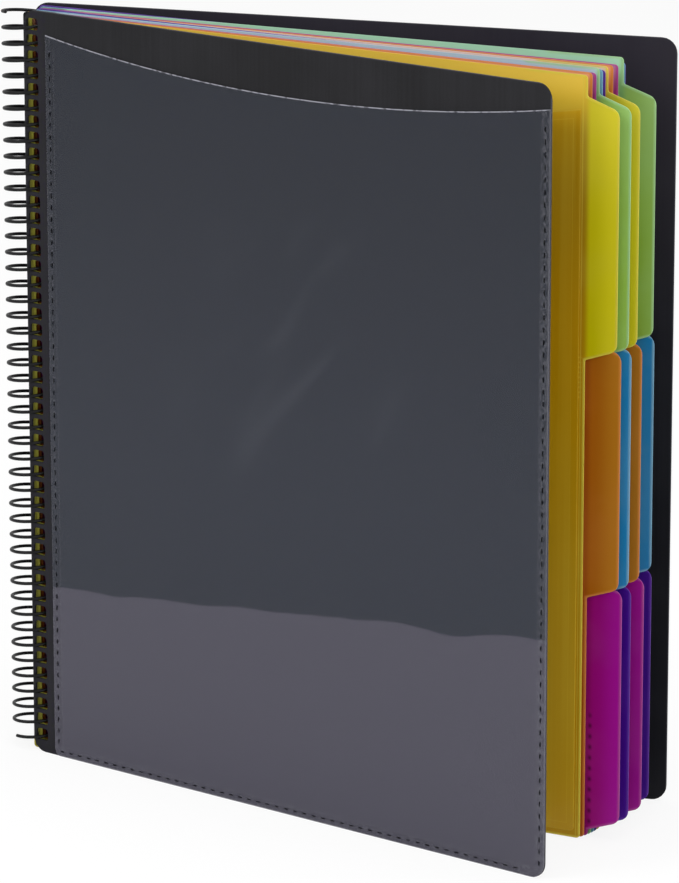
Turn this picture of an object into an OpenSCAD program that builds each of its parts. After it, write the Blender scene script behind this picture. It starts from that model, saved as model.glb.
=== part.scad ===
// Spiral bound organizer folder: two covers, twelve tabbed dividers with a pocket on each
// side, and a wire coil wound through one row of punched holes.
// The folder stands on its lower edges, opened like a fan. X runs from the spine to the
// fore edge, the front cover is on the -Y side, and Z is up. The origin is on the floor,
// under the middle of the standing folder.

/* [Covers] */
// Height of the covers
cover_h = 298.5; // [296:0.5:320]
// Width of the covers, from spine edge to fore edge
cover_w = 254; // [240:1:280]
// Thickness of a cover
cover_t = 0.8; // [0.5:0.05:1]
// Radius of the covers' corners
cover_corner_r = 6; // [3:0.5:10]
// Reach of the back cover past the front cover's spine edge
back_extra_w = 4; // [0:0.5:5]

/* [Clear pocket on the front cover] */
// Thickness of the clear film
film_t = 0.25; // [0.15:0.05:0.4]
// Room between the film and the cover
film_gap = 0.15; // [0.1:0.05:0.4]
// Width of cover left bare beside the spine edge
film_spine_margin = 11.5; // [9:0.5:20]
// Height from the ends of the mouth to the cover's top edge
film_mouth_drop = 9; // [6:0.5:30]
// Depth of the mouth's curve
film_mouth_dip = 10; // [2:0.5:25]
// Width of the seam that joins the film to the cover
film_seam_w = 4; // [3:0.5:8]
// Radius of the film's lower corner beside the spine
film_corner_r = 3; // [1:0.5:6]

/* [Stitches] */
// Distance from one stitch to the next
stitch_spacing = 4.6; // [3.5:0.1:8]
// Length of a stitch
stitch_l = 1.8; // [1.5:0.1:3]
// Width of the thread
stitch_w = 0.5; // [0.3:0.05:0.8]
// Height of the thread on the film
stitch_h = 0.15; // [0.1:0.05:0.3]
// Distance from the film's edge to the row of stitches
stitch_inset = 2.1; // [1.5:0.1:3]

/* [Dividers] */
// Height from the purple dividers' upper spine corners to the cover's top edge
divider_drop = 0.8; // [0.5:0.1:1]
// Width of a divider without its tab
divider_w = 241.8; // [228:0.1:243]
// Thickness of a divider
divider_t = 0.4; // [0.3:0.05:0.5]
// Height of the dividers' lower edge over the floor
divider_lift = 0.4; // [0.2:0.1:0.8]
// Fall of a divider's top edge from the spine to the fore edge, as it droops from the coil
divider_droop = 3.5; // [0:0.1:5]
// Radius of the dividers' corners
divider_corner_r = 1.5; // [0.5:0.1:1.6]

/* [Tabs] */
// Reach of a tab past the divider's fore edge
tab_reach = 13; // [8:0.5:14]
// Gap between the outer edges of tabs in neighbouring places
tab_gap = 1.75; // [0.5:0.25:1.75]
// Length of a tab's slanted shoulder along the fore edge
tab_slant = 4.5; // [3:0.5:5]
// Distance from the divider's upper fore corner to the first tab
tab_top_margin = 9; // [6:0.5:20]
// Distance from the last tab to the divider's lower fore corner
tab_low_margin = 2.6; // [2.6:0.1:20]
// Radius of a tab's outer corners
tab_corner_r = 4; // [1:0.5:6]
// Radius where a tab's shoulders meet the fore edge
tab_root_r = 1.2; // [0.5:0.1:1.4]

/* [Divider pockets] */
// Thickness of a pocket's film
pocket_t = 0.15; // [0.1:0.01:0.18]
// Room between a pocket's film and its divider
pocket_gap = 0.1; // [0.05:0.01:0.12]
// Width of divider left bare beside the spine edge
pocket_spine_margin = 14; // [12.5:0.5:20]
// Width of divider left bare beside the fore edge and the lower edge
pocket_edge_margin = 2.5; // [1:0.5:6]
// Height from the ends of a pocket's mouth to the divider's upper fore corner
pocket_mouth_drop = 14; // [8:0.5:40]
// Depth of the mouth's curve
pocket_mouth_dip = 9; // [2:0.5:25]
// Width of the weld that joins a pocket to its divider
pocket_seam_w = 3; // [2:0.5:6]
// Radius of a pocket's lower corners
pocket_corner_r = 2; // [1:0.5:5]

/* [Coil and holes] */
// Radius of the coil, to the middle of its wire
coil_r = 10.3; // [10:0.1:11]
// Diameter of the wire
wire_d = 1.2; // [0.9:0.05:1.25]
// Distance from one hole to the next
hole_spacing = 6.35; // [6.1:0.05:6.38]
// Width of a hole
hole_w = 6; // [5.6:0.1:6.2]
// Height of a hole
hole_h = 4.7; // [4.6:0.05:5]
// Size of the cut corners of a hole
hole_corner = 0.8; // [0.4:0.1:1]
// Least height from the middles of the end holes to the covers' upper and lower edges
hole_row_margin = 6; // [5.5:0.5:7]
// Height of the front cover's row of holes above the middle of the cover
row_lift = 0.8; // [0:0.1:0.8]
// Distance from the front cover's spine edge to the middle of its holes
hole_inset = 4.4; // [4.2:0.1:4.8]
// Distance from a divider's spine edge to the middle of its holes
divider_hole_inset = 6.8; // [6:0.1:7.2]
// Distance from the front cover's spine edge to the wire in its holes
front_wire_inset = 3; // [2.9:0.1:4.4]
// The same distance on the back cover, without its extra width
back_wire_inset = 4; // [3.6:0.1:4.6]
// Depth of the wire below the middle of the front cover's holes
wire_sink = 1.4; // [0.8:0.1:1.6]

/* [Opening] */
// Distance between the middles of the two covers when the folder is shut
stack_t = 15; // [14.5:0.1:15.4]
// Angle between the two covers as the folder stands
fan_angle = 20.5; // [12:0.5:24]
// Angle that the front cover opens from where it stands
front_opening = 85; // [40:1:85]
// Angle that each divider opens from the one behind it
divider_opening = 6; // [2:0.5:6]

/* [Hidden] */
divider_count = 12;
function named(kind, i) = str(kind, i < 10 ? "_0" : "_", i);

// Sheets are numbered from the front: 0 is the front cover, 1 to 12 the dividers, 13 the
// back cover. Each share places a sheet in the fan, from the front cover to the back cover.
fan_shares = [
    0, 0.515, 0.525, 0.535, 0.545, 0.555, 0.565, 0.58, 0.622, 0.672, 0.735, 0.757, 0.775, 1];
front = 0;
back = divider_count + 1;
tab_places = 3;

// Shares of the drop at the spine and of the droop that each divider shows, from the front
drop_shares = [1.75, 1.75, 1.7, 1.6, 1.5, 1, 1.75, 1.75, 1.7, 1.6, 1.5, 1];
droop_shares = [1.14, 0.94, 1.06, 0.64, 0.88, 1.2, 0.74, 0.84, 1.05, 0.61, 1.3, 1.6];

cover_colour = "#2b2b2f";
film_colour = [0.62, 0.64, 0.7, 0.45];
thread_colour = "#17171a";
wire_colour = "#111113";
divider_colours = ["#cdbc20", "#d8731c", "#a31089", "#6fae5e", "#1c7fb4", "#3d0f86"];
pocket_colours = ["#e2d560", "#eb9a55", "#c650b2", "#9acb8c", "#5aa7d2", "#6d46ad"];

// Overrun of every cut past the face that it leaves through
overrun = cover_t;
corner_steps = 6;
mouth_steps = 20;

// Place of a sheet: its angle in the fan, and its distance from the coil's axis
function angle_of(i) = fan_angle * (fan_shares[i] - 1 / 2);
function offset_of(i) = stack_t * (i / back - 1 / 2);
function hole_reach(i) = sqrt(coil_r * coil_r - offset_of(i) * offset_of(i));
function covers_or(i, at_front, at_back, at_divider) =
    i == front ? at_front : i == back ? at_back : at_divider;
function hole_s(i) = covers_or(i, hole_inset, hole_inset, divider_hole_inset);
function wire_s(i) = covers_or(i, front_wire_inset, back_wire_inset, divider_hole_inset);
function spine_of(i) = hole_reach(i) - wire_s(i);

// The row holds as many holes as the covers have room for
hole_count = floor((cover_h - 2 * hole_row_margin) / hole_spacing) + 1;

// The coil turns with the front cover. A sheet behind it meets the wire higher up as the
// folder opens, so the sheet's row of holes is centred on that travel.
rise = hole_spacing / 360;
function crossing_angle(i) = angle_of(i) + atan2(offset_of(i), hole_reach(i));
front_first_z = (cover_h - hole_spacing * (hole_count - 1)) / 2 + row_lift;
helix_z = front_first_z - wire_sink - rise * crossing_angle(front);
function from_front(i) = angle_of(i) - angle_of(front);
function widest(i) = from_front(i) + front_opening + divider_opening * (i - 1);
function wire_low(i) = i == front ? wire_sink : rise * (widest(i) / 2 - from_front(i));
function first_hole_z(i) = helix_z + rise * crossing_angle(i) + wire_low(i);

// The folder is centred on its own box
front_outer = cover_t / 2 + film_gap + film_t + stitch_h;
function fore_x(s, y, a) = s * cos(a) - y * sin(a);
function fore_y(s, y, a) = s * sin(a) + y * cos(a);
box_back_x = -coil_r - wire_d / 2;
box_fore_x = max([for (i = [1:divider_count])
    fore_x(spine_of(i) + divider_w + tab_reach, offset_of(i), angle_of(i))]);
box_front_y = fore_y(spine_of(front) + cover_w, offset_of(front) - front_outer, angle_of(front));
box_rear_y = fore_y(spine_of(back) + cover_w, offset_of(back) + cover_t / 2, angle_of(back));
shift = [-(box_back_x + box_fore_x) / 2, -(box_front_y + box_rear_y) / 2, 0];

// Points of a rounded corner at b, on the way from a to c
function unit(v) = v / norm(v);
function corner(a, b, c, r) =
    let (u = unit(a - b), v = unit(c - b), half = acos(u * v) / 2)
    let (middle = b + unit(u + v) * r / sin(half), out = (b + u * r / tan(half)) - middle)
    let (turn = (u[0] * v[1] - u[1] * v[0] > 0 ? -1 : 1) * (180 - 2 * half))
    [for (k = [0:corner_steps]) let (t = turn * k / corner_steps)
        middle + [out[0] * cos(t) - out[1] * sin(t), out[0] * sin(t) + out[1] * cos(t)]];

// Outline through the points p, with a rounded corner of radius r[i] at each
function rounded(p, r) = [for (i = [0:len(p) - 1])
    each corner(p[(i + len(p) - 1) % len(p)], p[i], p[(i + 1) % len(p)], r[i])];

// Sagging arc from the right end (x1, z) to the left end (x0, z)
function sagging_arc(x0, x1, z, dip) =
    let (half = (x1 - x0) / 2, r = (half * half + dip * dip) / (2 * dip), a = asin(half / r))
    [for (k = [0:mouth_steps]) let (t = a * (1 - 2 * k / mouth_steps))
        [x0 + half + r * sin(t), z - dip + r * (1 - cos(t))]];

// Outline of a pocket's film: three straight sides and a sagging mouth
function film_outline(x0, x1, z0, z1, dip, r_left, r_right) = concat(
    corner([x0, z1], [x0, z0], [x1, z0], r_left),
    corner([x0, z0], [x1, z0], [x1, z1], r_right),
    sagging_arc(x0, x1, z1, dip));

function cover_outline(extra) = rounded(
    [[-extra, 0], [cover_w, 0], [cover_w, cover_h], [-extra, cover_h]],
    [for (k = [1:4]) cover_corner_r]);

divider_fore_top = cover_h - divider_drop - divider_droop;
function divider_top(i) = cover_h - divider_drop * drop_shares[i - 1];
function drooped_top(i) = divider_top(i) - divider_droop * droop_shares[i - 1];
tab_x = divider_w + tab_reach;
tab_row_top = divider_fore_top - tab_top_margin - tab_slant;
tab_row_low = divider_lift + tab_low_margin + tab_slant;
tab_l = (tab_row_top - tab_row_low - tab_gap * (tab_places - 1)) / tab_places;
function tab_high(i) = tab_row_top - ((i - 1) % tab_places) * (tab_l + tab_gap);
function tab_low(i) = tab_high(i) - tab_l;
function divider_outline(i) = rounded(
    [[0, divider_lift], [divider_w, divider_lift],
     [divider_w, tab_low(i) - tab_slant], [tab_x, tab_low(i)],
     [tab_x, tab_high(i)], [divider_w, tab_high(i) + tab_slant],
     [divider_w, drooped_top(i)], [0, divider_top(i)]],
    [divider_corner_r, divider_corner_r, tab_root_r, tab_corner_r,
     tab_corner_r, tab_root_r, divider_corner_r, divider_corner_r]);

// Puts a flat outline on sheet i, upright, with its spine edge at the coil
module on_sheet(i) {
    translate(shift)
        rotate([0, 0, angle_of(i)])
            translate([spine_of(i), offset_of(i), 0])
                rotate([90, 0, 0])
                    children();
}

module hole() {
    x = hole_w / 2;
    z = hole_h / 2;
    polygon([[-x, hole_corner - z], [hole_corner - x, -z], [x - hole_corner, -z],
             [x, hole_corner - z], [x, z - hole_corner], [x - hole_corner, z],
             [hole_corner - x, z], [-x, z - hole_corner]]);
}

module punched_sheet(i, outline, t) {
    linear_extrude(t, center = true)
        difference() {
            polygon(outline);
            for (k = [0:hole_count - 1])
                translate([hole_s(i), first_hole_z(i) + k * hole_spacing]) hole();
        }
}

// Film held off a sheet's face by a seam along its two sides and its lower edge
module film_pocket(outline, seam, face, gap, t) {
    xs = [for (p = outline) p[0]];
    zs = [for (p = outline) p[1]];
    translate([0, 0, face + gap])
        linear_extrude(t) polygon(outline);
    translate([0, 0, face])
        linear_extrude(gap + t)
            difference() {
                polygon(outline);
                translate([min(xs) + seam, min(zs) + seam])
                    square([max(xs) - min(xs) - 2 * seam, max(zs) - min(zs) - seam + overrun]);
            }
}

module front_cover() {
    color(cover_colour) on_sheet(front) punched_sheet(front, cover_outline(0), cover_t);
}

module back_cover() {
    color(cover_colour)
        on_sheet(back) punched_sheet(back, cover_outline(back_extra_w), cover_t);
}

film_outer = cover_t / 2 + film_gap + film_t;
film_top = cover_h - film_mouth_drop;

module cover_overlay() {
    color(film_colour)
        on_sheet(front)
            film_pocket(
                film_outline(film_spine_margin, cover_w, 0, film_top, film_mouth_dip,
                    film_corner_r, cover_corner_r),
                film_seam_w, cover_t / 2, film_gap, film_t);
}

module stitch(x, z, lying) {
    long = lying ? stitch_l : stitch_w;
    high = lying ? stitch_w : stitch_l;
    translate([x - long / 2, z - high / 2]) square([long, high]);
}

module overlay_stitching() {
    x0 = film_spine_margin + stitch_inset;
    x1 = cover_w - stitch_inset;
    rows = floor((film_top - cover_corner_r - stitch_l) / stitch_spacing);
    columns = floor((x1 - x0 - cover_corner_r) / stitch_spacing);
    color(thread_colour)
        on_sheet(front)
            translate([0, 0, film_outer])
                linear_extrude(stitch_h) {
                    for (k = [0:rows - 1]) {
                        stitch(x0, cover_corner_r + k * stitch_spacing, false);
                        stitch(x1, cover_corner_r + k * stitch_spacing, false);
                    }
                    for (k = [0:columns - 1])
                        stitch(x0 + stitch_l + k * stitch_spacing, stitch_inset, true);
                }
}

module divider(i) {
    color(divider_colours[(i - 1) % len(divider_colours)])
        on_sheet(i) punched_sheet(i, divider_outline(i), divider_t);
}

pocket_outline = film_outline(
    pocket_spine_margin, divider_w - pocket_edge_margin,
    divider_lift + pocket_edge_margin, divider_fore_top - pocket_mouth_drop,
    pocket_mouth_dip, pocket_corner_r, pocket_corner_r);

module front_pocket(i) {
    color(pocket_colours[(i - 1) % len(pocket_colours)])
        on_sheet(i)
            film_pocket(pocket_outline, pocket_seam_w, divider_t / 2, pocket_gap, pocket_t);
}

module back_pocket(i) {
    color(pocket_colours[(i - 1) % len(pocket_colours)])
        on_sheet(i)
            mirror([0, 0, 1])
                film_pocket(pocket_outline, pocket_seam_w, divider_t / 2, pocket_gap, pocket_t);
}

// The coil is a tube with straight stretches between its rings. Its rings lie outside the
// coil's radius by as much as the stretches pass inside it. It starts on the left of the front
// cover's lowest hole, clear of the back cover when the folder is wide open. It ends on the
// left, above the covers' highest holes, and stays in all of them as the folder opens.
turn_rings = 12;
wire_sides = 6;
ring_turn = 360 / turn_rings;
ring_r = 2 * coil_r / (1 + cos(ring_turn / 2));
coil_start = -120;
coil_end = 360 * hole_count - 120;
ring_angles = [coil_start:ring_turn:coil_end];
function helix_point(a) = [ring_r * cos(a), ring_r * sin(a), helix_z + rise * a];
function helix_way(a) = unit([-ring_r * sin(a), ring_r * cos(a), rise * 180 / PI]);
wire_points = [for (a = ring_angles) helix_point(a)];
wire_ways = [for (a = ring_angles) helix_way(a)];
function wire_ring(p, way) =
    let (side = unit(cross(way, [0, 0, 1])), over = cross(side, way))
    [for (k = [0:wire_sides - 1]) let (a = 360 * k / wire_sides)
        p + wire_d / 2 * (side * cos(a) + over * sin(a))];
wire_rings = len(wire_points);
wire_vertices = [for (k = [0:wire_rings - 1]) each wire_ring(wire_points[k], wire_ways[k])];
wire_sides_faces = [for (k = [0:wire_rings - 2], j = [0:wire_sides - 1])
    let (a = k * wire_sides + j, b = k * wire_sides + (j + 1) % wire_sides)
    each [[a, a + wire_sides, b], [b, a + wire_sides, b + wire_sides]]];
wire_ends_faces = [for (j = [1:wire_sides - 2])
    let (last = (wire_rings - 1) * wire_sides)
    each [[0, j, j + 1], [last, last + j + 1, last + j]]];

// Least gap between stretches of the wire that aren't neighbours, measured on its points
wire_gap = min([for (k = [0:wire_rings - 1], j = [turn_rings - 2:turn_rings + 2])
    if (k + j < wire_rings) norm(wire_points[k] - wire_points[k + j])]) - wire_d;
echo(least_gap_in_coil = wire_gap);

module spiral_coil() {
    color(wire_colour)
        translate(shift)
            polyhedron(points = wire_vertices, faces = concat(wire_sides_faces, wire_ends_faces));
}

front_cover();
cover_overlay();
overlay_stitching();
back_cover();
spiral_coil();
for (i = [1:divider_count]) {
    divider(i);
    front_pocket(i);
    back_pocket(i);
}
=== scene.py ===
"""Looks of the project organizer folder: two charcoal covers, a clear front pocket with sewn
edges, twelve tabbed dividers in translucent colours, and a black wire coil."""

import math

import bpy
from mathutils import Matrix, Vector


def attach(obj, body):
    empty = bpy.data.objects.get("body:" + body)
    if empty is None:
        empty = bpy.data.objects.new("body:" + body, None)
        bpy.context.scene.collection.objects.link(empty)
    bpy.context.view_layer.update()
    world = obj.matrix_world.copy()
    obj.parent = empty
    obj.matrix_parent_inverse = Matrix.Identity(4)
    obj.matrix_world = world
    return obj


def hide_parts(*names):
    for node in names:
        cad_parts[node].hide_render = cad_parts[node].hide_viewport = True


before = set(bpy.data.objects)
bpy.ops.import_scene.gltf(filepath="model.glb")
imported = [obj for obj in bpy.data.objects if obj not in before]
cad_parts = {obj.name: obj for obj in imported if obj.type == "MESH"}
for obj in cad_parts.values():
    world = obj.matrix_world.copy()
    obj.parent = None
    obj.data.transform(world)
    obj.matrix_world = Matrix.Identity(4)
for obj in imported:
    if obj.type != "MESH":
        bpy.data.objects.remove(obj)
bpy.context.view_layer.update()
MM = 0.001

# Sizes of the folder, in millimetres, as in the part's source
COVER_W, COVER_H, BACK_EXTRA = 254.0, 298.5, 4.0
COVER_CORNER = 6.0
STACK_T, FAN_ANGLE = 15.0, 20.5
FAN_SHARES = (
    *(0, 0.515, 0.525, 0.535, 0.545, 0.555, 0.565),
    *(0.58, 0.622, 0.672, 0.735, 0.757, 0.775, 1),
)
DROP_SHARES = (1.75, 1.75, 1.7, 1.6, 1.5, 1, 1.75, 1.75, 1.7, 1.6, 1.5, 1)
DROOP_SHARES = (1.14, 0.94, 1.06, 0.64, 0.88, 1.2, 0.74, 0.84, 1.05, 0.61, 1.3, 1.6)
FRONT, BACK = 0, 13
# The wire is drawn thicker than its solid by its coating
COIL_R, WIRE_R, COATING = 10.3, 0.6, 0.06
WIRE_STEPS, WIRE_SIDES = 32, 10
WIRE_INSETS = (3.0, *[6.8] * 12, 4.0)
HOLE_SPACING, HOLE_COUNT = 6.35, 46
COIL_START, COIL_END, COIL_Z = -120.0, HOLE_COUNT * 360 - 120.0, 6.78
SHIFT = Vector((-123.6637, 0.35958, 0.0))
DIVIDER_W, DIVIDER_DROP, DIVIDER_LIFT, DIVIDER_DROOP = 241.8, 0.8, 0.4, 3.5
TAB_REACH, TAB_LENGTH, TAB_GAP, TAB_SLANT, TAB_ROW_TOP = 13.0, 89.9, 1.75, 4.5, 280.7
POCKET_SPINE, POCKET_FORE, POCKET_LOW = 14.0, 239.3, 2.9
POCKET_TOP, POCKET_DIP, POCKET_SEAM = 280.2, 9.0, 3.0
FILM_SPINE, FILM_TOP, FILM_DIP, FILM_SEAM = 11.5, 289.5, 10.0, 4.0
STITCH_SPACING, STITCH_LENGTH, STITCH_INSET = 4.6, 1.8, 2.1
THREAD_R, THREAD_RISE, THREAD_BOW, THREAD_SIDES = 0.24, 0.16, 2.4, 7
FILM_FACE = 0.8
# A painted reflection lightens the film below this height at the spine, and this much higher per
# millimetre
REFLECTION_HEIGHT, REFLECTION_SLOPE = 68.0, 0.092

# The camera that fits the photo: turn, tilt and roll in degrees, and its place in millimetres
CAMERA_ANGLES = (-28.814, 14.319, -0.039)
CAMERA_DISTANCE, CAMERA_RIGHT, CAMERA_UP = 2115.516, 119.871, -24.123
FOCAL_PIXELS, PICTURE_HEIGHT, SENSOR = 5378.53, 883, 36.0


class Sheet:
    """Where a sheet of the fan stands: 0 is the front cover, 1 to 12 the dividers, 13 the back."""

    def __init__(self, number):
        angle = math.radians(FAN_ANGLE * (FAN_SHARES[number] - 0.5))
        offset = STACK_T * (number / BACK - 0.5)
        spine = math.sqrt(COIL_R**2 - offset**2) - WIRE_INSETS[number]
        self.along = Vector((math.cos(angle), math.sin(angle), 0.0))
        self.outward = Vector((math.sin(angle), -math.cos(angle), 0.0))
        self.corner = SHIFT + self.along * spine - self.outward * offset

    def matrix(self):
        """From the sheet's own x (to the fore edge), y (up) and z (to the front) to the frame."""
        m = Matrix((self.along, (0, 0, 1), self.outward)).transposed().to_4x4()
        m.translation = self.corner
        return m


SHEETS = [Sheet(number) for number in range(BACK + 1)]


def linear(code):
    """A colour written as #rrggbb, as the linear values that the shader takes."""
    parts = [int(code[k : k + 2], 16) / 255 for k in (1, 3, 5)]
    bent = [c / 12.92 if c <= 0.04045 else ((c + 0.055) / 1.055) ** 2.4 for c in parts]
    return (*bent, 1.0)


class Wire:
    """An output socket that Python's operators work on."""

    def __init__(self, tree, socket):
        self.tree, self.socket = tree, socket

    def math(self, operation, *values):
        return self.tree.add("ShaderNodeMath", {"operation": operation}, self, *values)

    def __add__(self, other):
        return self.math("ADD", other)

    def __sub__(self, other):
        return self.math("SUBTRACT", other)

    def __rsub__(self, other):
        return self.tree.add("ShaderNodeMath", {"operation": "SUBTRACT"}, other, self)

    def __mul__(self, other):
        return self.math("MULTIPLY", other)

    def __truediv__(self, other):
        return self.math("DIVIDE", other)

    def least(self, other):
        return self.math("MINIMUM", other)

    def most(self, other):
        return self.math("MAXIMUM", other)

    __rmul__ = __mul__


class Tree:
    """A node tree. add() takes a node's type, its settings, and its inputs by place or name."""

    def __init__(self, nodes_of):
        self.nodes, self.links = nodes_of.nodes, nodes_of.links

    def add(self, kind, settings=None, *places, output=0, **named):
        node = self.nodes.new(kind)
        for name, value in (settings or {}).items():
            setattr(node, name, value)
        for key, value in list(enumerate(places)) + list(named.items()):
            if value is None:
                continue
            socket = node.inputs[key.replace("_", " ") if isinstance(key, str) else key]
            if isinstance(value, Wire):
                self.links.new(value.socket, socket)
            else:
                socket.default_value = value
        return Wire(self, node.outputs[output]) if node.outputs else node


class Finish(Tree):
    """A material's nodes. Its own coordinates are millimetres in the frame, at rest."""

    def __init__(self, name):
        self.material = bpy.data.materials.new(name)
        self.material.use_nodes = True
        super().__init__(self.material.node_tree)
        self.nodes.clear()
        place = self.add("ShaderNodeTexCoord", output="Object")
        self.place = self.add("ShaderNodeVectorMath", {"operation": "SCALE"}, place, Scale=1 / MM)

    def on_sheet(self, sheet):
        """Distance from the sheet's spine edge, and height."""
        way = self.add("ShaderNodeVectorMath", {"operation": "SUBTRACT"}, self.place, sheet.corner)
        s = self.add(
            "ShaderNodeVectorMath", {"operation": "DOT_PRODUCT"}, way, sheet.along, output="Value"
        )
        return s, self.add("ShaderNodeSeparateXYZ", None, self.place, output="Z")

    def smooth(self, value, low, high, to_low=0.0, to_high=1.0):
        kind = {"interpolation_type": "SMOOTHSTEP"}
        return self.add("ShaderNodeMapRange", kind, value, low, high, to_low, to_high)

    def line(self, value, middle, width):
        """1 on the line where value is middle, fading to 0 at half the width."""
        return self.smooth((value - middle).math("ABSOLUTE"), width / 2, 0.0)

    def span(self, value, low, high, soft):
        """1 where value lies between low and high, with soft ends."""
        return self.smooth(value, low - soft, low) * self.smooth(value, high + soft, high)

    def noise(self, size, detail=2.0, stretch=(1, 1, 1), turn=(0, 0, 0), seed=0.0):
        """Noise whose features are size millimetres across, stretched by these factors."""
        at = self.add(
            "ShaderNodeMapping",
            {"vector_type": "TEXTURE"},
            self.place,
            Scale=tuple(size * k for k in stretch),
            Rotation=tuple(math.radians(a) for a in turn),
            Location=(seed, seed, seed),
        )
        return self.add("ShaderNodeTexNoise", None, at, Scale=1.0, Detail=detail)

    def mix(self, share, first, second):
        unused = [None] * 5
        return self.add(
            "ShaderNodeMix", {"data_type": "RGBA"}, share, *unused, first, second, output=2
        )

    def bump(self, height, distance, strength=1.0, normal=None):
        reach = distance * MM
        return self.add(
            "ShaderNodeBump", None, Height=height, Distance=reach, Strength=strength, Normal=normal
        )

    def surface(self, shader):
        self.add("ShaderNodeOutputMaterial", None, shader)
        return self.material

    def plastic(self, **inputs):
        return self.add("ShaderNodeBsdfPrincipled", None, IOR=1.49, **inputs)


def arc_depth(s, z, x0, x1, top, dip):
    """How far a point of a film lies below its sagging mouth."""
    half = (x1 - x0) / 2
    radius = (half**2 + dip**2) / (2 * dip)
    dx, dz = s - (x0 + half), z - (top - dip + radius)
    return (dx * dx + dz * dz).math("SQRT") - radius


def cover_finish(name, sheet, spine, low, high, streak):
    """Charcoal board: its colour near the floor and near the top, and how far it is brushed."""
    f = Finish(name)
    s, z = f.on_sheet(sheet)
    edge = (s - spine).least(COVER_W - s).least(z).least(COVER_H - z)
    grain = f.noise(0.45, detail=3)
    cloud = f.noise(38, detail=3)
    brushed = f.noise(1.2, detail=4, stretch=(1, 1, 90))
    base = f.mix(f.smooth(z, 150, 298), linear(low), linear(high))
    tone = f.smooth(cloud, 0.3, 0.7, 0.0, 0.5) + f.smooth(brushed, 0.3, 0.7, 0.0, streak)
    base = f.mix(tone * 0.16, base, linear("#46464c"))
    mottle = f.smooth(f.noise(1.6, detail=3), 0.45, 0.65, 0.0, 0.7)
    mottle = mottle * f.smooth(s, FILM_SPINE + 1, FILM_SPINE - 1)
    base = f.mix(mottle, base, linear("#1c1826"))
    # Paler rim along the board's edges: partly wear, partly a painted highlight.
    base = f.mix(f.smooth(edge, 0.45, 0.0, 0.0, 0.5), base, linear("#505056"))
    skin = f.plastic(
        Base_Color=base,
        Roughness=f.smooth(grain, 0.3, 0.7, 0.5, 0.64),
        Specular_IOR_Level=0.14,
        Normal=f.bump(grain, 0.03, 0.4),
    )
    return f.surface(skin)


def film_finish():
    """Clear film: its sagging mouth, its sewn edges, painted highlights at its edges and stitches,
    and a painted reflection that lightens its lower part.
    """
    f = Finish("clear_pocket_film")
    s, z = f.on_sheet(SHEETS[FRONT])
    depth = arc_depth(s, z, FILM_SPINE, COVER_W, FILM_TOP, FILM_DIP)
    fore, spine = COVER_W - s, s - FILM_SPINE
    edge = spine.least(fore).least(z).least(depth)
    wave = f.noise(48, detail=1)
    ragged = f.noise(9, detail=2)
    # Painted reflection: a wavy band lightens the film's lower part.
    reflection_level = z - REFLECTION_SLOPE * s + (wave - 0.5) * 9.0 + (ragged - 0.5) * 1.2
    painted_reflection = f.smooth(reflection_level, REFLECTION_HEIGHT + 0.6, REFLECTION_HEIGHT - 0.6)
    # Film tint, darker at the top and lighter towards the bottom; the painted reflection is laid
    # over its lower part.
    tint_and_reflection = f.mix(f.smooth(z, 280, 110), linear("#1f2430"), linear("#2b303d"))
    tint_and_reflection = f.mix(painted_reflection, tint_and_reflection, linear("#53515f"))
    smear = f.noise(16, detail=3, stretch=(1, 1, 5), turn=(0, 42, 0))
    smear = f.smooth(smear, 0.5, 0.72, 0.0, 0.1) * f.span(z, 150, 215, 35) * f.span(s, 95, 175, 30)
    tint_and_reflection = f.mix(smear, tint_and_reflection, linear("#6a6c76"))
    # Painted highlights: a broken pale line along the film's mouth, pale lines along its fore and
    # spine edges, and pale spots beside the stitches. The weld seam and the sewn weave are the
    # film's own marks.
    broken = f.smooth(f.noise(2.2, detail=2), 0.34, 0.52, 0.35, 1.0)
    rim = f.smooth(depth, 0.55, 0.25) * broken
    side_highlight = f.smooth(fore, 0.7, 0.1, 0.0, 0.45).most(f.smooth(spine, 0.5, 0.1, 0.0, 0.2))
    seam = f.line(edge, FILM_SEAM, 0.5) * 0.18
    place = ((z - COVER_CORNER) / STITCH_SPACING).math("FRACT") * STITCH_SPACING
    beside = f.line(spine, STITCH_INSET, 1.1).most(f.line(fore, STITCH_INSET, 1.1))
    stitch_highlight = beside * f.line(place, STITCH_LENGTH / 2 + 0.45, 0.9)
    stitch_highlight = stitch_highlight * f.smooth(ragged, 0.4, 0.6, 0.15, 0.8)
    weave = f.smooth(f.noise(0.9, detail=2, stretch=(1, 1, 1.6)), 0.42, 0.62, 0.0, 0.26)
    sewn = (spine + 1.2).least(fore).least(z)
    weave = weave * f.smooth(sewn, FILM_SEAM + 0.3, FILM_SEAM - 0.3)
    weave = weave * f.smooth(fore, 20, 10, 0.5, 1.0)
    # Pale colour for the painted highlights and the seam marks.
    tint_and_reflection = f.mix(rim.most(seam).most(side_highlight).most(stitch_highlight).most(weave), tint_and_reflection, linear("#8c8c95"))
    press = f.smooth(edge, FILM_SEAM - 0.6, FILM_SEAM + 0.6)
    skin = f.plastic(
        Base_Color=tint_and_reflection,
        Roughness=0.14,
        Specular_IOR_Level=0.36,
        Alpha=(rim * 0.4 + 0.58).least(1.0),
        Normal=f.bump(press, 0.15, 0.6),
        Coat_Weight=0.15,
        Coat_Roughness=0.08,
    )
    return f.surface(skin)


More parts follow.
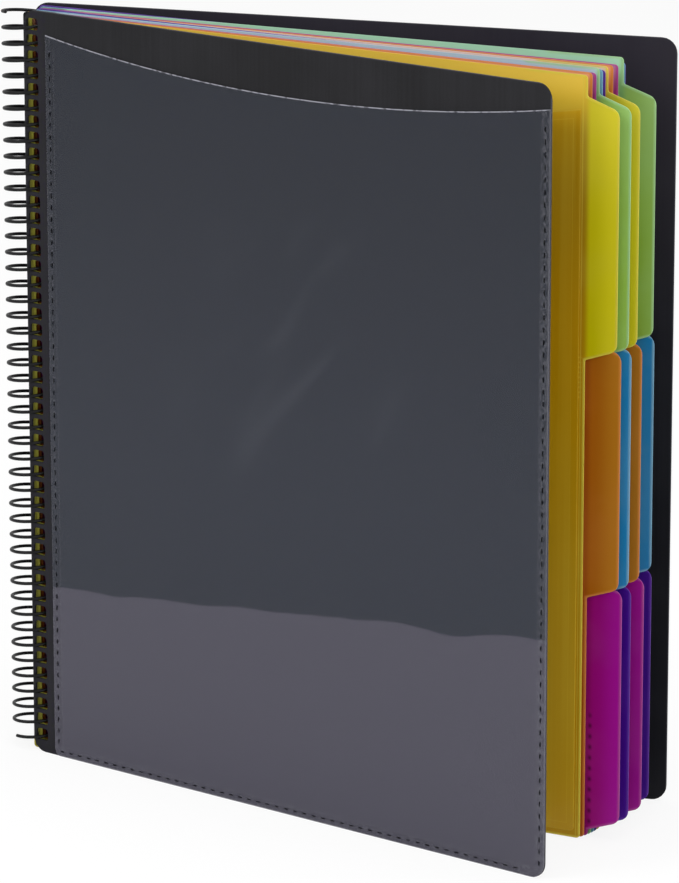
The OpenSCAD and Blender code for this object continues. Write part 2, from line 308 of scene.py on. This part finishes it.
# Colours of each poly sheet: body, root and end of the tab, rims, painted top highlight, and
# pocket film.
# Two sheets get a paler painted top highlight.
HUES = {
    "yellow": ("#eab624", "#cfc400", "#dfd41a", "#e0d050", "#f0cc50", "#b88a06"),
    "orange": ("#d0700f", "#b0640a", "#bc7a18", "#dc8c48", "#f0b090", "#a0500c"),
    "magenta": ("#9a0670", "#9c007c", "#a80898", "#b4509c", "#b892aa", "#8c0462"),
    "green": ("#74b456", "#8cb82c", "#94be50", "#a8d49c", "#b4e4c8", "#5f9444"),
    "blue": ("#3084b4", "#4088b0", "#1c84c0", "#84b4cc", "#b4d2e4", "#246c98"),
    "purple": ("#3a1080", "#36007c", "#400a8a", "#6238a0", "#a898d0", "#320a70"),
}
HUE_ORDER = ("yellow", "orange", "magenta", "green", "blue", "purple")
PALE_TOP_HIGHLIGHTS = {4: "#c0d2e6", 7: "#e8d2d0"}


def colours(number):
    hue = HUE_ORDER[(number - 1) % len(HUE_ORDER)]
    return hue, [linear(code) for code in HUES[hue]]


def tone_with_painted_shade(f, z, body, film):
    """Bright above the pockets' mouths, painted shade deepest just below them, lighter again lower
    down.
    """
    shaded_film = f.mix(f.smooth(z, 190, 262, 0.0, 0.26), film, linear("#000000"))
    return f.mix(f.smooth(z, 270, 294), shaded_film, body)


def divider_finish(number):
    """Poly sheet: painted highlights along the top edge and rims, painted light towards the top, a
    weld along the fore edge, a stronger tab, and painted shade on the rear tabs and along the
    coil."""
    hue, (body, root, tab, rim, top_highlight_colour, film) = colours(number)
    f = Finish(f"{hue}_poly_{number:02d}")
    s, z = f.on_sheet(SHEETS[number])
    fall = DIVIDER_DROOP * DROOP_SHARES[number - 1] / DIVIDER_W
    top = COVER_H - DIVIDER_DROP * DROP_SHARES[number - 1]
    high = TAB_ROW_TOP - (number - 1) % 3 * (TAB_LENGTH + TAB_GAP)
    low = high - TAB_LENGTH
    slope = TAB_SLANT / TAB_REACH
    lean = 1 / math.hypot(1.0, slope)
    below_top = top - z - s * fall
    past = s - DIVIDER_W
    inside = below_top.least(z - DIVIDER_LIFT).least(s).least(0.0 - past)
    upper = (high + TAB_SLANT - z - past * slope) * lean
    lower = (z - low + TAB_SLANT - past * slope) * lean
    depth = inside.most((TAB_REACH - past).least(upper).least(lower))
    cloud = f.noise(30, detail=3, seed=number * 7.0)
    base = tone_with_painted_shade(f, z, body, film)
    base = f.mix(f.smooth(past, -1.0, 2.0), base, root)
    base = f.mix(f.smooth(past, 2.0, TAB_REACH - 1.0), base, tab)
    # Painted shade: the rear six dividers' tabs darker and bluer.
    if number > len(HUE_ORDER):
        base = f.mix(f.smooth(past, -1.0, 2.0, 0.0, 0.14), base, linear("#102030"))
    base = f.mix(f.smooth(cloud, 0.4, 0.7, 0.0, 0.12), base, rim)
    # Painted light: paler towards the top.
    base = f.mix(f.smooth(z, 225, 290, 0.0, 0.3), base, rim)
    # Painted highlight along the top edge.
    top_highlight_mask = f.smooth(below_top, 12.0, 1.0, 0.0, 0.85) * f.smooth(past, 0.0, -2.0)
    base = f.mix(top_highlight_mask, base, linear(PALE_TOP_HIGHLIGHTS[number]) if number in PALE_TOP_HIGHLIGHTS else top_highlight_colour)
    shade = linear("#000000")
    # Painted shade along the coil: divider 1 olive, darkest at its spine edge, with its two spine
    # corners dark; the other dividers darkened.
    if number == 1:
        base = f.mix(f.smooth(s, 13.0, 9.0), base, linear("#aca840"))
        corner = f.smooth(s, 3.0, 2.0) * f.smooth(z, 9.0, 6.0).most(f.smooth(top - z, 13.0, 10.0))
        base = f.mix(f.smooth(s, 3.6, 1.2, 0.0, 0.72).most(corner), base, shade)
    else:
        base = f.mix(f.smooth(s, 13.0, 9.0, 0.0, 0.6), base, shade)
    weld = f.line(past, -1.7, 0.7) * 0.4
    step = (z / 1.9).math("FRACT")
    marks = f.line(step, 0.5, 0.6) * f.span(z, low - 18, low - 4, 3.0)
    marks = marks * f.span(past, -8, -2, 1.5) * 0.3
    # Painted highlight along the sheet's and tab's edges, in the pale rim colour that also draws
    # the real weld line and marks.
    edge = f.smooth(depth, 1.2, 0.15, 0.0, 0.8)
    base = f.mix(edge.most(weld).most(marks), base, rim)
    if hue == "magenta":
        dash = f.line((z / 4.2).math("FRACT"), 0.5, 0.75) * f.span(z, 4, 46, 6.0)
        base = f.mix(dash * f.line(past, 0.5, 2.6) * 0.8, base, linear("#3c0024"))
    grain = f.noise(0.4, detail=2)
    skin = f.plastic(
        Base_Color=base,
        Roughness=f.smooth(grain, 0.3, 0.7, 0.4, 0.52),
        Specular_IOR_Level=0.2,
        Normal=f.bump(grain, 0.03, 0.4),
    )
    through = f.add("ShaderNodeBsdfTranslucent", None, Color=base)
    return f.surface(f.add("ShaderNodeMixShader", None, 0.15, skin, through))


def pocket_finish(number):
    """Thin coloured film welded on a divider, with faint upright streaks, painted shade below its
    mouth, painted light lower down and a painted highlight along its edges.
    """
    hue, (body, _, _, rim, _, film) = colours(number)
    f = Finish(f"{hue}_pocket_{number:02d}")
    s, z = f.on_sheet(SHEETS[number])
    depth = arc_depth(s, z, POCKET_SPINE, POCKET_FORE, POCKET_TOP, POCKET_DIP)
    edge = (s - POCKET_SPINE).least(POCKET_FORE - s).least(z - POCKET_LOW).least(depth)
    cloud = f.noise(45, detail=2, stretch=(1, 1, 3), seed=number * 5.0)
    streak = f.noise(3.0, detail=3, stretch=(1, 1, 60), seed=number * 2.0)
    tone = f.smooth(cloud, 0.3, 0.7, 0.0, 0.1) + f.smooth(streak, 0.4, 0.7, 0.0, 0.08)
    # Painted light: lighter lower down.
    tone = tone + f.smooth(z, 170, 40, 0.0, 0.12)
    base = f.mix(tone, tone_with_painted_shade(f, z, body, film), rim)
    # Painted highlight along the film's edges, with its weld seam line.
    seam = f.line(edge, POCKET_SEAM, 0.5) * 0.15
    base = f.mix(f.smooth(edge, 0.5, 0.0, 0.0, 0.2).most(seam), base, rim)
    swell = f.noise(60, detail=1, stretch=(1, 1, 2), seed=number * 3.0)
    skin = f.plastic(
        Base_Color=base,
        Roughness=0.3,
        Specular_IOR_Level=0.25,
        Alpha=0.92,
        Normal=f.bump(swell, 2.0, 0.2),
    )
    return f.surface(skin)


def wire_finish():
    f = Finish("black_coated_wire")
    speck = f.noise(0.8, detail=2)
    worn = f.smooth(speck, 0.55, 0.75, 0.0, 0.5)
    skin = f.plastic(
        Base_Color=f.mix(worn, linear("#050506"), linear("#141416")),
        Roughness=f.smooth(speck, 0.3, 0.7, 0.34, 0.44),
        Specular_IOR_Level=0.22,
        Normal=f.bump(speck, 0.02, 0.3),
    )
    return f.surface(skin)


def thread_finish():
    f = Finish("sewing_thread")
    twist = f.noise(0.18, detail=2, stretch=(1, 1, 0.6))
    skin = f.plastic(
        Base_Color=f.mix(f.smooth(twist, 0.35, 0.7), linear("#050507"), linear("#16161a")),
        Roughness=0.8,
        Specular_IOR_Level=0.1,
        Normal=f.bump(twist, 0.05, 0.8),
    )
    return f.surface(skin)


class Maker(Tree):
    """A Geometry Nodes tree with named inputs, turned into one plain mesh object."""

    def __init__(self, name, **values):
        self.name, self.values = name, values
        self.group = bpy.data.node_groups.new(name, "GeometryNodeTree")
        shape = "NodeSocketGeometry"
        self.group.interface.new_socket("Geometry", in_out="OUTPUT", socket_type=shape)
        self.idents = {}
        kinds = {int: "NodeSocketInt", float: "NodeSocketFloat", Vector: "NodeSocketVector"}
        for key, value in values.items():
            item = self.group.interface.new_socket(
                key.replace("_", " "), in_out="INPUT", socket_type=kinds[type(value)]
            )
            self.idents[key] = item.identifier
        super().__init__(self.group)
        entry = self.nodes.new("NodeGroupInput")
        self.inputs = {k: Wire(self, entry.outputs[k.replace("_", " ")]) for k in values}

    def combine(self, x, y, z):
        return self.add("ShaderNodeCombineXYZ", None, x, y, z)

    def build(self, geometry, material):
        real = self.add("GeometryNodeRealizeInstances", None, geometry)
        smooth = self.add("GeometryNodeSetShadeSmooth", None, real)
        done = self.add("GeometryNodeSetMaterial", None, smooth, Material=material)
        self.add("NodeGroupOutput", None, done)
        seed = bpy.data.meshes.new(self.name + "_seed")
        maker = bpy.data.objects.new(self.name + "_maker", seed)
        bpy.context.scene.collection.objects.link(maker)
        modifier = maker.modifiers.new("make", "NODES")
        modifier.node_group = self.group
        for key, value in self.values.items():
            modifier[self.idents[key]] = tuple(value) if isinstance(value, Vector) else value
        bpy.context.view_layer.update()
        depsgraph = bpy.context.evaluated_depsgraph_get()
        mesh = bpy.data.meshes.new_from_object(maker.evaluated_get(depsgraph))
        bpy.data.objects.remove(maker)
        piece = bpy.data.objects.new(self.name, mesh)
        bpy.context.scene.collection.objects.link(piece)
        return piece


def make_coil(material):
    """Round wire on the helix that passes through every sheet's holes."""
    step = 360 / WIRE_STEPS
    g = Maker(
        "coil",
        Points=round((COIL_END - COIL_START) / step) + 1,
        Coil_radius=COIL_R * MM,
        Wire_radius=(WIRE_R + COATING) * MM,
        Rise=HOLE_SPACING * MM,
        Middle=(SHIFT + Vector((0, 0, COIL_Z))) * MM,
    )
    turns = (g.add("GeometryNodeInputIndex") * step + COIL_START) / 360.0
    way, reach, rise = turns * math.tau, g.inputs["Coil_radius"], g.inputs["Rise"]
    round_it = g.combine(way.math("COSINE") * reach, way.math("SINE") * reach, turns * rise)
    spot = g.add("ShaderNodeVectorMath", {"operation": "ADD"}, round_it, g.inputs["Middle"])
    row = g.add("GeometryNodeMeshLine", None, g.inputs["Points"])
    wire = g.add("GeometryNodeMeshToCurve", None, row)
    wire = g.add("GeometryNodeSetPosition", None, wire, Position=spot)
    radius = g.inputs["Wire_radius"]
    ring = g.add("GeometryNodeCurvePrimitiveCircle", None, WIRE_SIDES, Radius=radius)
    return g.build(g.add("GeometryNodeCurveToMesh", None, wire, ring, Fill_Caps=True), material)


def make_stitches(material):
    """Short bowed stitches in three rows: up both sides of the clear film and along its foot."""
    rows = math.floor((FILM_TOP - COVER_CORNER - STITCH_LENGTH) / STITCH_SPACING)
    fore, spine = COVER_W - STITCH_INSET, FILM_SPINE + STITCH_INSET
    columns = math.floor((fore - spine - COVER_CORNER) / STITCH_SPACING)
    m = SHEETS[FRONT].matrix()
    g = Maker(
        "stitches",
        Rows=rows,
        Columns=columns,
        Spacing=STITCH_SPACING * MM,
        Half_stitch=STITCH_LENGTH / 2 * MM,
        Thread_radius=THREAD_R * MM,
        Rise=THREAD_RISE * MM,
        Place=m.translation * MM,
        Turn=Vector(m.to_euler()),
    )
    half, rise, space = g.inputs["Half_stitch"], g.inputs["Rise"], g.inputs["Spacing"]
    bow = g.add(
        "GeometryNodeCurveQuadraticBezier",
        None,
        8,
        g.combine(0.0 - half, 0.0, 0.0 - rise),
        g.combine(0.0, 0.0, rise * THREAD_BOW),
        g.combine(half, 0.0, 0.0 - rise),
    )
    radius = g.inputs["Thread_radius"]
    ring = g.add("GeometryNodeCurvePrimitiveCircle", None, THREAD_SIDES, Radius=radius)
    stitch = g.add("GeometryNodeCurveToMesh", None, bow, ring, Fill_Caps=True)
    joined = g.nodes.new("GeometryNodeJoinGeometry")
    for count, x, y, upright in (
        (g.inputs["Rows"], spine, COVER_CORNER, True),
        (g.inputs["Rows"], fore, COVER_CORNER, True),
        (g.inputs["Columns"], spine + STITCH_LENGTH, STITCH_INSET, False),
    ):
        offset = g.combine(0.0, space, 0.0) if upright else g.combine(space, 0.0, 0.0)
        start = (x * MM, y * MM, FILM_FACE * MM)
        spots = g.add("GeometryNodeMeshLine", None, count, Start_Location=start, Offset=offset)
        turn = (0.0, 0.0, math.pi / 2 if upright else 0.0)
        line = g.add("GeometryNodeInstanceOnPoints", None, spots, Instance=stitch, Rotation=turn)
        g.links.new(line.socket, joined.inputs[0])
    placed = g.add(
        "GeometryNodeTransform",
        None,
        Wire(g, joined.outputs[0]),
        Translation=g.inputs["Place"],
        Rotation=g.inputs["Turn"],
    )
    return g.build(placed, material)


coil = make_coil(wire_finish())
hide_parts("spiral_coil")
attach(coil, "front_cover")
stitches = make_stitches(thread_finish())
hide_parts("overlay_stitching")
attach(stitches, "front_cover")


def wear(node, material):
    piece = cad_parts[node]
    piece.data.materials.clear()
    piece.data.materials.append(material)


front = cover_finish("charcoal_cover", SHEETS[FRONT], 0.0, "#151518", "#18181a", 0.3)
back = cover_finish("charcoal_back", SHEETS[BACK], -BACK_EXTRA, "#0c0d11", "#27242c", 0.25)
wear("front_cover", front)
wear("back_cover", back)
wear("cover_overlay", film_finish())
for number in range(1, BACK):
    wear(f"divider_{number:02d}", divider_finish(number))
    film = pocket_finish(number)
    wear(f"front_pocket_{number:02d}", film)
    wear(f"back_pocket_{number:02d}", film)


def make_floor():
    """Pale ground, nearly white to the camera, that still shows a little of the shadow."""
    f = Finish("pale_floor")
    matt = f.add("ShaderNodeBsdfDiffuse", None, Color=(0.92, 0.92, 0.92, 1))
    white = f.add("ShaderNodeEmission", None, Color=(1, 1, 1, 1), Strength=1.0)
    seen = f.add("ShaderNodeLightPath", output="Is Camera Ray")
    f.surface(f.add("ShaderNodeMixShader", None, seen * 0.85, matt, white))
    mesh = bpy.data.meshes.new("floor")
    reach = 12.0
    corners = [(-reach, -reach, 0), (reach, -reach, 0), (reach, reach, 0), (-reach, reach, 0)]
    mesh.from_pydata(corners, [], [(0, 1, 2, 3)])
    mesh.materials.append(f.material)
    floor = bpy.data.objects.new("floor", mesh)
    bpy.context.scene.collection.objects.link(floor)


def make_light(name, place, size, power):
    lamp = bpy.data.lights.new(name, "AREA")
    lamp.shape, lamp.size, lamp.energy = "DISK", size, power
    holder = bpy.data.objects.new(name, lamp)
    holder.location = place
    way = Vector((0, 0, 0.15)) - Vector(place)
    holder.rotation_euler = way.to_track_quat("-Z", "Y").to_euler()
    bpy.context.scene.collection.objects.link(holder)


def make_world():
    """Even studio light, white where the camera sees it."""
    world = bpy.data.worlds.new("studio")
    world.use_nodes = True
    tree = Tree(world.node_tree)
    tree.nodes.clear()
    room = tree.add("ShaderNodeBackground", None, Color=(1, 1, 1, 1), Strength=0.62)
    white = tree.add("ShaderNodeBackground", None, Color=(1, 1, 1, 1), Strength=1.0)
    seen = tree.add("ShaderNodeLightPath", output="Is Camera Ray")
    both = tree.add("ShaderNodeMixShader", None, seen, room, white)
    tree.add("ShaderNodeOutputWorld", None, both)
    bpy.context.scene.world = world


def make_camera():
    azimuth, elevation, roll = (math.radians(a) for a in CAMERA_ANGLES)
    flat = math.cos(elevation)
    ahead = Vector((math.sin(azimuth) * flat, math.cos(azimuth) * flat, -math.sin(elevation)))
    right = ahead.cross(Vector((0, 0, 1))).normalized()
    up = right.cross(ahead)
    c, s = math.cos(roll), math.sin(roll)
    right, up = right * c + up * s, up * c - right * s
    look = SHIFT + Vector((0, 0, COVER_H / 2))
    eye = look - ahead * CAMERA_DISTANCE + right * CAMERA_RIGHT + up * CAMERA_UP
    lens = bpy.data.cameras.new("camera")
    lens.sensor_width, lens.lens = SENSOR, FOCAL_PIXELS / PICTURE_HEIGHT * SENSOR
    lens.clip_start, lens.clip_end = 0.05, 60.0
    camera = bpy.data.objects.new("camera", lens)
    m = Matrix((right, up, -ahead)).transposed().to_4x4()
    m.translation = eye * MM
    camera.matrix_world = m
    bpy.context.scene.collection.objects.link(camera)
    bpy.context.scene.camera = camera


make_floor()
make_light("key", (-1.1, -1.5, 1.5), 1.2, 16)
make_light("fill", (1.8, -1.2, 1.0), 1.4, 20)
make_light("top", (0.2, -0.1, 1.9), 1.0, 12)
make_world()
make_camera()
bpy.context.scene.view_settings.view_transform = "Standard"
